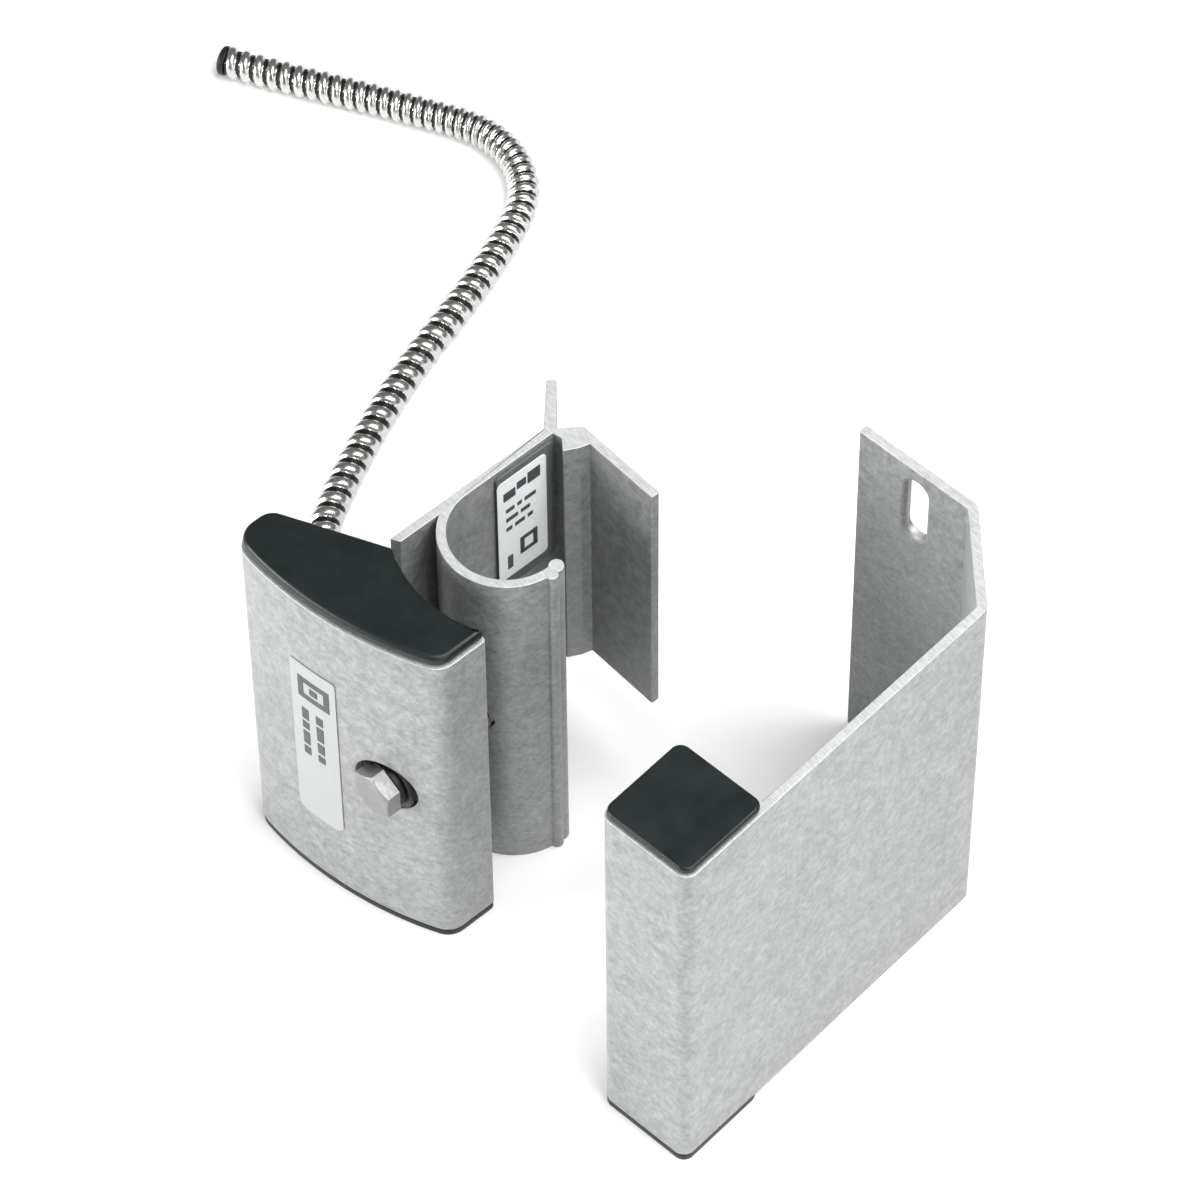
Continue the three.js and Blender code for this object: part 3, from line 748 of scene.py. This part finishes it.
def film(name, place, u_range, v_range, height, thickness, radii, columns):
    """A thin skin over a surface: place(u, v, height) gives its points.

    radii round its corners: low-u low-v, high-u low-v, high-u high-v, low-u high-v. columns counts the
    steps between the rounded corners.
    """
    (u0, u1), (v0, v1) = u_range, v_range

    def ends(u):
        """The skin's lowest and highest v at a column, within the rounded corners."""
        drops = []
        for near, far in ((radii[0], radii[1]), (radii[3], radii[2])):
            drop = 0.0
            for radius, gap in ((near, u - u0), (far, u1 - u)):
                if gap < radius:
                    drop = radius - math.sqrt(max(radius**2 - (radius - gap) ** 2, 0))
            drops.append(drop)
        return v0 + drops[0], v1 - drops[1]

    curve = [max(radii) * (1 - math.cos(math.radians(a))) for a in range(0, 91, 15)]
    us = [u0 + c for c in curve] + between(u0 + curve[-1], u1 - curve[-1], columns)
    us += [u1 - c for c in reversed(curve)]
    vertices = [place(u, v, level) for level in (height, height + thickness) for u in us for v in ends(u)]
    count = len(us) * 2
    faces = []
    for i in range(len(us) - 1):
        a, b, c, d = 2 * i, 2 * i + 1, 2 * i + 3, 2 * i + 2
        faces += [(a, b, c, d), (a + count, b + count, c + count, d + count)]
        faces += [(a, d, d + count, a + count), (b, c, c + count, b + count)]
    last = count - 2
    faces += [(0, 1, count + 1, count), (last, last + 1, last + 1 + count, last + count)]
    return new_piece(name, vertices, faces)


def on_front(x, z, height):
    """A point over the housing's bowed front."""
    reach = FRONT_RADIUS + height
    offset = (x - FRONT_CENTRE[0]) * reach / FRONT_RADIUS
    return FRONT_CENTRE[0] + offset, FRONT_CENTRE[1] - math.sqrt(reach**2 - offset**2), z


def joined(name, pieces):
    """One object that holds several separate meshes."""
    work = bmesh.new()
    for piece in pieces:
        work.from_mesh(piece.data)
        bpy.data.objects.remove(piece)
    mesh = bpy.data.meshes.new(name)
    work.to_mesh(mesh)
    work.free()
    whole = bpy.data.objects.new(name, mesh)
    bpy.context.scene.collection.objects.link(whole)
    return whole


def print_bars(name, place, bars, height, body):
    """Ink bars, each (u0, u1, v0, v1), that stand in for a label's print."""
    pieces = [film("bar", place, bar[:2], bar[2:], height, INK_RISE, (0.25,) * 4, 2) for bar in bars]
    finished(joined(name, pieces), INK, body)


def square_mark(u, v, width, height, flat, upright, lap):
    """Bars around a rectangle from its low corner; the uprights lap over the flat bars."""
    low, high = v + flat - lap, v + height - flat + lap
    return [
        (u, u + width, v + height - flat, v + height), (u, u + width, v, v + flat),
        (u, u + upright, low, high), (u + width - upright, u + width, low, high)]


def make_sensor_label():
    """White film on the front, printed with a square mark over two columns of bars."""
    across, up = span("sensor_label", 0), span("sensor_label", 2)
    label = film("sensor_label_film", on_front, across, up, LABEL_GAP, FILM, (2.6, 2.6, 0.8, 0.8), 14)
    finished(label, LABEL, "sensor", ["sensor_label"], keep_sharp=True)
    x0, z1 = across[0], up[1]
    bars = square_mark(x0 + 2.2, z1 - 12.6, 9.2, 8, 2, 1.7, 0.3)
    bars.append((x0 + 5.6, x0 + 8.0, z1 - 9.8, z1 - 7.4))
    for column, lengths in ((2.9, (4.2, 2.8, 5.0, 3.0)), (7.1, (3.2, 5.4, 3.8, 2.6))):
        z = z1 - 16.5
        for length in lengths:
            bars.append((x0 + column, x0 + column + 2.1, z - length, z))
            z -= length + 0.9
    print_bars("sensor_label_print", on_front, bars, LABEL_GAP + FILM, "sensor")


PLATE_INNER_X = span("clamp_pad", 0)[0] - LABEL_GAP


def on_plate(y, z, height):
    """A point over the inner face of the clamp's plate."""
    return PLATE_INNER_X + height, y, z


def make_clamp_label():
    """Dark pad on the plate, whose margin beside the label's top, right and lower edges is painted shade,
    and a white film on it with rows of bars and a square mark.
    """
    pad = film(
        "clamp_pad_sheet", on_plate, span("clamp_pad", 1), span("clamp_pad", 2), LABEL_GAP, PAD_THICKNESS,
        (1.5,) * 4, 8)
    finished(ease(pad, 0.12), PAD_WITH_EDGE_SHADE, "clamp", ["clamp_pad"])
    across, up = span("clamp_label", 1), span("clamp_label", 2)
    label = film("clamp_label_film", on_plate, across, up, CLAMP_LABEL_HEIGHT, FILM, (1.4,) * 4, 10)
    finished(label, CLAMP_LABEL, "clamp", ["clamp_label"], keep_sharp=True)
    y0, z1 = across[0], up[1]
    bars = [
        (y0 + 1.8, y0 + 5.4, z1 - 7.4, z1 - 4.4), (y0 + 9.0, y0 + 12.8, z1 - 6.6, z1 - 2.6),
        (y0 + 5.8, y0 + 8.6, z1 - 6.0, z1 - 3.4)]
    for row, lengths in enumerate(((2.6, 1.4, 3.4), (3.6, 2.8), (1.8, 3.0, 1.6))):
        y = y0 + 2.4
        for length in lengths:
            bars.append((y, y + length, z1 - 12.0 - 3.4 * row, z1 - 10.6 - 3.4 * row))
            y += length + 0.8
    bars.append((y0 + 2.6, y0 + 4.2, z1 - 33.0, z1 - 28.2))
    bars += square_mark(y0 + 6.4, z1 - 30.6, 5.2, 6.2, 1.4, 1.3, 0.4)
    print_bars("clamp_label_print", on_plate, bars, CLAMP_LABEL_HEIGHT + FILM, "clamp")


make_sensor_label()
make_clamp_label()


# ---- Clamp -----------------------------------------------------------------------------
NOSE_CENTRE = (-5.3, 35)
NOSE_RADIUS = 15.7
CLAMP_WALL = 2.3
NOSE_INNER_RADIUS = NOSE_RADIUS - CLAMP_WALL
NOSE_STEP = 2.6         # Degrees between the points of the nose's arcs.
BEAD_STEP = 12          # The same for the beads along its lip.
PLATE_OUTER_X = NOSE_CENTRE[0] - NOSE_RADIUS
PLATE_WALL_X = PLATE_OUTER_X + CLAMP_WALL
PLATE_START_Y = (14.5, 15.65)   # At the plate's outer and inner face.
PLATE_END_Y = 61
LEG_LENGTH = 14.8
LEG_TURN = 137
FLANGE_BACK_Y = 67
FLANGE_END_X = 9.6
LIP_BEADS = (((10.3, 34.4), 1.5), ((9.1, 36.7), 1.8))   # Centre and radius of each.
CLAMP_NOTCH_Z = 26
NUT_SEAT_WIDTH = 15
CLAMP_Z = span("track_clamp", 2)


def meeting(a, radius_a, b, radius_b, side):
    """Where two circles cross, to the left (1) or right (-1) of the line from a to b."""
    way = (Vector(b) - Vector(a)).normalized()
    apart = (Vector(b) - Vector(a)).length
    along = (radius_a**2 - radius_b**2 + apart**2) / (2 * apart)
    across = math.sqrt(radius_a**2 - along**2)
    return Vector(a) + way * along + Vector((-way.y, way.x)) * across * side


def arc_through(centre, radius, start, end, step):
    """Anticlockwise arc about a centre from one point on it to another."""
    first, last = (math.degrees(math.atan2(p[1] - centre[1], p[0] - centre[0])) for p in (start, end))
    return arc(centre, radius, first, first + (last - first) % 360, step)


def nose_outline():
    """Plan of the plate with its slanted heel, the half-round nose and the two beads along its lip."""
    (outer_bead, outer_radius), (end_bead, end_radius) = LIP_BEADS
    root = (PLATE_WALL_X, NOSE_CENTRE[1] - math.sqrt(NOSE_RADIUS**2 - NOSE_INNER_RADIUS**2))
    lip_start = meeting(NOSE_CENTRE, NOSE_RADIUS, outer_bead, outer_radius, -1)
    lip_middle = meeting(outer_bead, outer_radius, end_bead, end_radius, -1)
    lip_end = meeting(end_bead, end_radius, NOSE_CENTRE, NOSE_INNER_RADIUS, 1)
    inside = arc_through(NOSE_CENTRE, NOSE_INNER_RADIUS, (PLATE_WALL_X, NOSE_CENTRE[1]), lip_end, NOSE_STEP)
    return [
        (PLATE_OUTER_X, PLATE_START_Y[0]), (PLATE_WALL_X, PLATE_START_Y[1]),
        *arc_through(NOSE_CENTRE, NOSE_RADIUS, root, lip_start, NOSE_STEP),
        *arc_through(outer_bead, outer_radius, lip_start, lip_middle, BEAD_STEP)[1:],
        *arc_through(end_bead, end_radius, lip_middle, lip_end, BEAD_STEP)[1:],
        *reversed(inside[:-1]), (PLATE_WALL_X, PLATE_END_Y), (PLATE_OUTER_X, PLATE_END_Y)]


def make_clamp():
    """J-shaped extrusion: plate, beaded nose, 45 degree leg, and flange cut short at its foot."""
    clamp = prism("clamp_extrusion", nose_outline(), *CLAMP_Z)
    taper = rounded([(0, -1.6), (LEG_LENGTH, -1.2, 0.5), (LEG_LENGTH, 1.2, 0.5), (0, 1.6)])
    leg = prism("leg", taper, *CLAMP_Z)
    moved(leg, turn(LEG_TURN, "Z"), shift(PLATE_OUTER_X + 1.6, PLATE_END_Y - 0.6, 0))
    flange_y = FLANGE_BACK_Y - CLAMP_WALL
    flange = prism("flange", rounded([
        (PLATE_OUTER_X + 0.4, PLATE_END_Y - 0.8), (-16.4, 61.2, 0.6),
        (-13.4, 58.8, 0.4), (-11.5, 62.4, 0.8), (-10.9, flange_y, 0.3), (FLANGE_END_X, flange_y, 0.5),
        (FLANGE_END_X, FLANGE_BACK_Y, 0.5), (-15.6, FLANGE_BACK_Y, 1.5)]), *CLAMP_Z)
    combine(clamp, "UNION", leg, flange)
    notch_y = PLATE_END_Y - 4
    notch = prism(
        "notch", [(PLATE_WALL_X, notch_y), (20, notch_y), (20, 80), (PLATE_WALL_X, 80)], -1, CLAMP_NOTCH_Z)
    combine(clamp, "DIFFERENCE", notch, bolt_cut(BOLT_HOLE_RADIUS, 10, 28))
    tidied(clamp, BOLT_Z - 5, BOLT_Z + 5)
    ease(clamp, 0.22, 3, 58)
    finished(clamp, ALUMINIUM, "clamp", ["track_clamp"])


def make_nut_seat():
    """Half-round filler in the nose with a flat for the nut."""
    z0, z1 = span("nut_seat", 2)
    y1 = span("nut_seat", 1)[1]
    seat = prism("nut_seat_block", disc(NOSE_CENTRE, NOSE_INNER_RADIUS - GAP, 3), z0, z1)
    x1 = NUT_SEAT_WIDTH / 2
    combine(seat, "INTERSECT", prism("cut", [(-x1, 10), (x1, 10), (x1, y1), (-x1, y1)], z0 - 1, z1 + 1))
    combine(seat, "DIFFERENCE", bolt_cut(BOLT_HOLE_RADIUS, 0, 40))
    ease(seat, 0.25, 2)
    finished(seat, ALUMINIUM, "clamp", ["nut_seat"])


make_clamp()
make_nut_seat()


# ---- Bolt, nut and washers -------------------------------------------------------------
HEAD_FLATS = 11.1
HEAD_HEIGHT = 4.2
THREAD_RADIUS = 3.175
THREAD_PITCH = 1.27
THREAD_DEPTH = 0.55
THREAD_STEPS = 14       # Rings of the thread's mesh in one pitch.
SHANK_LENGTH = 6.5
SHANK_TAPER = 0.5
WASHER_FACE_RADIUS = 5.2
STEEL_EASE = 0.12
BOLT_Y = span("clamp_bolt", 1)


def hexagon(name, height, crowned, bore=0.0):
    """Hexagon along +Z, a corner up once laid along the bolt, with its low or high end crowned."""
    corner = HEAD_FLATS / math.sqrt(3)
    outside = corner + 0.05
    face = HEAD_FLATS / 2 * 0.94
    drop = (outside - face) * math.tan(math.radians(30))
    low = [(face, 0), (outside, drop)] if "low" in crowned else [(outside, 0)]
    high = [(outside, height - drop), (face, height)] if "high" in crowned else [(outside, height)]
    block = prism(name, arc((0, 0), corner, 30, 330, 60), 0, height)
    combine(block, "INTERSECT", turned("crown", [(0, 0), *low, *high, (0, height)]))
    if bore:
        combine(block, "DIFFERENCE", prism("bore", disc((0, 0), bore), -1, height + 1))
    return block


def thread_radius(share):
    """Radius (m) of the thread at a share of a turn, with a flat crest and root."""
    fall = min(max(abs(2 * share - 1) * 1.35 - 0.15, 0.0), 1.0)
    return (THREAD_RADIUS - THREAD_DEPTH * fall) * MM


def make_bolt():
    """Hex head with its washer face and plain shank, and the thread up to the bolt's end."""
    head = hexagon("hex_bolt", HEAD_HEIGHT, ("low",))
    low, high = HEAD_HEIGHT - 0.3, HEAD_HEIGHT + 0.05
    ring = turned(
        "washer_face", [(0, low), (WASHER_FACE_RADIUS, low), (WASHER_FACE_RADIUS, high), (0, high)], 60)
    neck = HEAD_HEIGHT + SHANK_LENGTH
    shank = turned("shank", [
        (0, 1), (THREAD_RADIUS, 1), (THREAD_RADIUS, neck),
        (THREAD_RADIUS - SHANK_TAPER, neck + SHANK_TAPER), (0, neck + SHANK_TAPER)], 48)
    combine(head, "UNION", ring, shank)
    on_bolt_axis(head, BOLT_Y[0])
    ease(head, STEEL_EASE)
    finished(head, ZINC, "bolt", ["clamp_bolt"], keep_sharp=True)
    start, end = BOLT_Y[0] + neck + 0.1, BOLT_Y[1]
    steps = round((end - start) / THREAD_PITCH * THREAD_STEPS)
    path = [Vector((0, start + (end - start) * i / steps, BOLT_Z)) * MM for i in range(steps + 1)]
    turns = [(end - start) * i / steps / THREAD_PITCH for i in range(steps + 1)]
    thread, _ = ribbed_tube("bolt_thread", path, turns, thread_radius, 40)
    finished(thread, ZINC, "bolt", keep_sharp=True)


def make_nut():
    """Hex nut with both ends crowned."""
    y0, y1 = span("clamp_nut", 1)
    nut = on_bolt_axis(hexagon("hex_nut", y1 - y0, ("low", "high"), THREAD_RADIUS + 0.08), y0)
    ease(nut, STEEL_EASE)
    finished(nut, ZINC, "clamp", ["clamp_nut"], keep_sharp=True)


def make_washers():
    """Plain washer, and a spring washer with a slanted slit, both near-black as painted contact shadow
    behind the bolt head.
    """
    low, high = span("flat_washer", 1)
    thick = high - low
    ring = rounded([(3.4, 0, 0.1), (7.2, 0, 0.25), (7.2, thick, 0.12), (3.4, thick, 0.1)])
    flat = on_bolt_axis(turned("plain_washer", ring), low)
    finished(flat, WASHER_SHADOW_STEEL, "bolt", ["flat_washer"], keep_sharp=True)
    low, high = span("lock_washer", 1)
    thick = high - low
    ring = rounded([(3.35, 0, 0.12), (5.8, 0, 0.2), (5.8, thick, 0.2), (3.35, thick, 0.12)])
    split = turned("spring_washer", ring)
    slit = moved(prism("slit", [(-0.45, 2), (0.45, 2), (0.45, 8), (-0.45, 8)], -3, 5), turn(20, "Y"))
    combine(split, "DIFFERENCE", slit)
    finished(on_bolt_axis(split, low), WASHER_SHADOW_STEEL, "bolt", ["lock_washer"], keep_sharp=True)


make_bolt()
make_nut()
make_washers()


# ---- Magnet unit -----------------------------------------------------------------------
MAGNET_PLACE = (69.3, -5.2)     # The tube's front corner.
MAGNET_TURN = 5
TUBE = 25.4
TUBE_WALL = 2
MAGNET_WALL = 2.4
ARM_LENGTH = 96.4
CHAMFER = 20.3          # How far the 45 degree bend reaches along each axis.
FLANGE_LENGTH = 32.7
SLOT_X = -10.6
SLOT_WIDTH = 6
SLOT_LENGTH = 19
SLOT_HEIGHTS = (16, 99.5)
MAGNET_Z = span("magnet_bracket", 2)


def on_magnet(piece):
    """From the bracket's own frame, with the tube's front corner on the origin, to its place."""
    return moved(piece, turn(MAGNET_TURN, "Z"), shift(*MAGNET_PLACE, 0))


def tube_square(inset, radius):
    """Plan of the square tube moved inwards."""
    far = TUBE - inset
    return rounded([(inset, inset, radius), (far, inset, radius), (far, far, radius), (inset, far, radius)])


def slot_cutter(z, face_y, back_y):
    """Upright slot through the flange whose rim on the inner face is eased."""
    half = (SLOT_LENGTH - SLOT_WIDTH) / 2
    radius = SLOT_WIDTH / 2
    stations = [
        (radius, back_y + 5), (radius, face_y + 1.1), (radius + 0.2, face_y + 0.7),
        (radius + 0.55, face_y + 0.32), (radius + 1.1, face_y + 0.06), (radius + 1.5, face_y - 0.02),
        (radius + 1.5, face_y - 4)]
    vertices = []
    for reach, y in stations:
        outline = arc((SLOT_X, z + half), reach, 0, 180, 9) + arc((SLOT_X, z - half), reach, 180, 360, 9)
        vertices += [(x, y, height) for x, height in outline]
    count = len(outline)
    faces = [tuple(range(count)), tuple(range(len(vertices) - count, len(vertices)))]
    for ring in range(0, len(vertices) - count, count):
        for k in range(count):
            here, on = ring + k, ring + (k + 1) % count
            faces.append((here, on, on + count, here + count))
    return new_piece("slot", vertices, faces)


def make_bracket():
    """Square tube, arm, 45 degree bend and slotted flange in one extrusion."""
    back_y = ARM_LENGTH + CHAMFER
    flange_x = TUBE - CHAMFER
    bend = MAGNET_WALL * math.tan(math.radians(22.5))
    outline = rounded([
        (0, 0, 3), (TUBE, 0, 3), (TUBE, ARM_LENGTH, 2.5), (flange_x, back_y, 2.5),
        (flange_x - FLANGE_LENGTH, back_y, 0.6), (flange_x - FLANGE_LENGTH, back_y - MAGNET_WALL, 0.6),
        (flange_x - bend, back_y - MAGNET_WALL, 1), (TUBE - MAGNET_WALL, ARM_LENGTH - bend, 1),
        (TUBE - MAGNET_WALL, TUBE, 1), (0, TUBE, 3)])
    bracket = prism("bracket_extrusion", outline, *MAGNET_Z)
    bore = prism("bore", tube_square(TUBE_WALL, 1.4), MAGNET_Z[0] - 1, MAGNET_Z[1] + 1)
    slots = [slot_cutter(z, back_y - MAGNET_WALL, back_y) for z in SLOT_HEIGHTS]
    combine(bracket, "DIFFERENCE", bore, *slots)
    on_magnet(bracket)
    ease(bracket, EXTRUSION_EASE, 3, 50)
    finished(bracket, ALUMINIUM, "magnet_unit", ["magnet_bracket"])


def make_magnet_caps():
    """The square tube's two end caps."""
    plug_outline = tube_square(TUBE_WALL + GAP, 1.2)
    top = moulded_cap(
        "tube_cap_moulding", tube_square(TOP_RIM_INSET, 2.6), plug_outline,
        *top_heights("magnet_top_cap", MAGNET_Z[1]), 0.7)
    foot = moulded_cap(
        "tube_foot_moulding", tube_square(FOOT_RIM_INSET, 2.6), plug_outline,
        *foot_heights("magnet_bottom_cap", MAGNET_Z[0]), FOOT_RIM_EASE)
    for cap, node in ((top, "magnet_top_cap"), (foot, "magnet_bottom_cap")):
        finished(on_magnet(cap), BLACK, "magnet_unit", [node], keep_sharp=True)


make_bracket()
make_magnet_caps()


# ---- Hidden CAD nodes keep their shapes and get materials of their own -----------------
for name, material in HIDDEN_LOOKS.items():
    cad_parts[name].data.materials.clear()
    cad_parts[name].data.materials.append(material)


# ---- Studio ----------------------------------------------------------------------------
FLOOR_REACH = 3.0       # Metres from the origin to the floor's edges.
LIGHTS_AIM = (-0.02, 0.05, 0.05)
# Place, side and power (W) of each square light, in metres: overhead for the tops and the floor, then
# two low ones for the upright faces.
LIGHTS = {
    "overhead": ((0.55, 0.3, 1.5), 1.3, 42),
    "key": ((-0.8, -1.3, 0.5), 0.9, 36),
    "fill": ((1.5, -0.1, 0.45), 0.9, 11),
}
SKY_STRENGTH = 0.22


def make_floor():
    """Wide, pale, nearly even floor."""
    reach = FLOOR_REACH
    mesh = bpy.data.meshes.new("floor")
    corners = [(-reach, -reach, 0), (reach, -reach, 0), (reach, reach, 0), (-reach, reach, 0)]
    mesh.from_pydata(corners, [], [(0, 1, 2, 3)])
    floor = bpy.data.objects.new("floor", mesh)
    look = Look("floor", (0.86, 0.86, 0.86), 0.6)
    look.paint(look.tint(look.noise(9, 2.0), 0.995, 1.005), 0.6)
    mesh.materials.append(look.material)
    bpy.context.scene.collection.objects.link(floor)


def area_light(name, place, side, power):
    """A square light that points at the parts."""
    data = bpy.data.lights.new(name, "AREA")
    data.shape = "RECTANGLE"
    data.size = data.size_y = side
    data.energy = power
    light = bpy.data.objects.new(name, data)
    light.location = place
    light.rotation_euler = (Vector(LIGHTS_AIM) - Vector(place)).to_track_quat("-Z", "Y").to_euler()
    bpy.context.scene.collection.objects.link(light)


def make_studio():
    """Floor, lights and an even pale sky."""
    make_floor()
    for name, (place, side, power) in LIGHTS.items():
        area_light(name, place, side, power)
    world = bpy.data.worlds.new("studio")
    world.use_nodes = True
    background = world.node_tree.nodes["Background"]
    background.inputs["Color"].default_value = (1, 1, 1, 1)
    background.inputs["Strength"].default_value = SKY_STRENGTH
    bpy.context.scene.world = world
    bpy.context.scene.view_settings.view_transform = "Standard"


make_studio()
